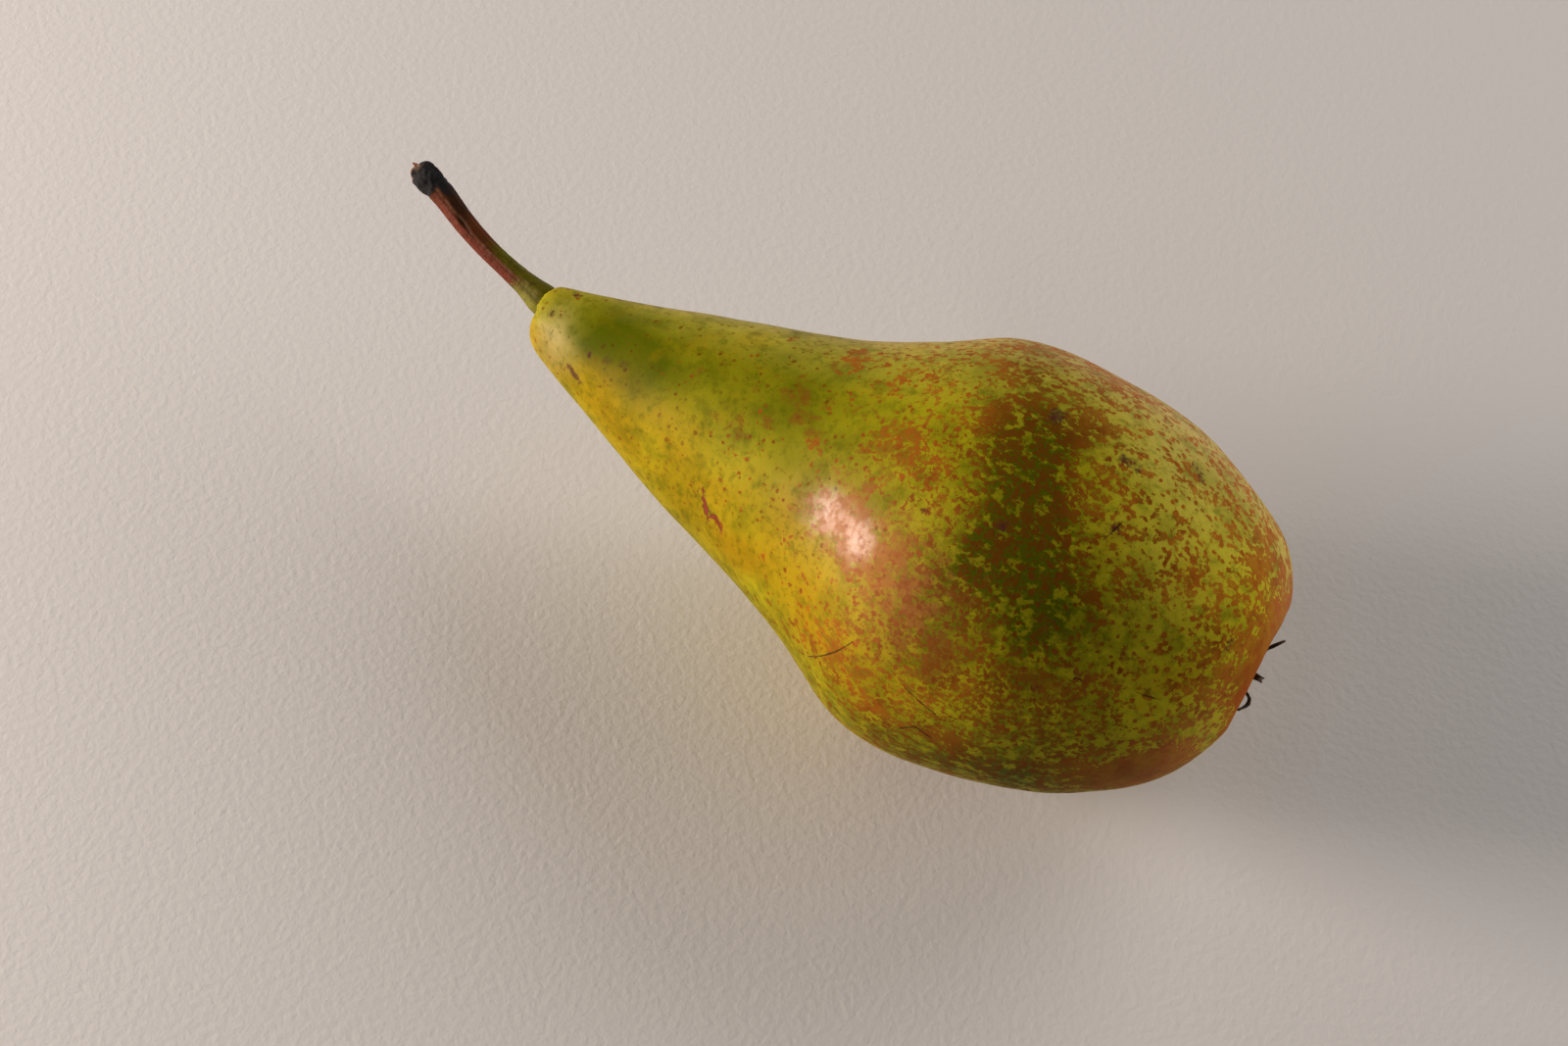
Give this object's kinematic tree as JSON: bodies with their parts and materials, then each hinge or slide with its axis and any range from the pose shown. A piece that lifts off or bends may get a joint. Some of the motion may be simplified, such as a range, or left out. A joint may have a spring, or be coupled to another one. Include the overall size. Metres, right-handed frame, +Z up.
{
  "type": "pear",
  "caption": "Whole long-necked pear with a curved woody stem and a dried calyx, lying on its side on a small flat spot.",
  "frame": {"origin": "on the surface that the pear lies on, under the middle of its bounding box", "axes": "+X along the pear from the stem toward the calyx end, +Z up"},
  "size_m": [0.1482, 0.064, 0.0632],
  "materials": {
    "skin": "satin yellow-green skin with rust-brown russet",
    "stalk": "smooth bark, dark above and reddish below",
    "dried_sepals": "dull, dry, nearly black"
  },
  "bodies": {
    "root": {"fruit": "skin", "stem": "stalk", "calyx": "dried_sepals"}
  },
  "joints": []
}
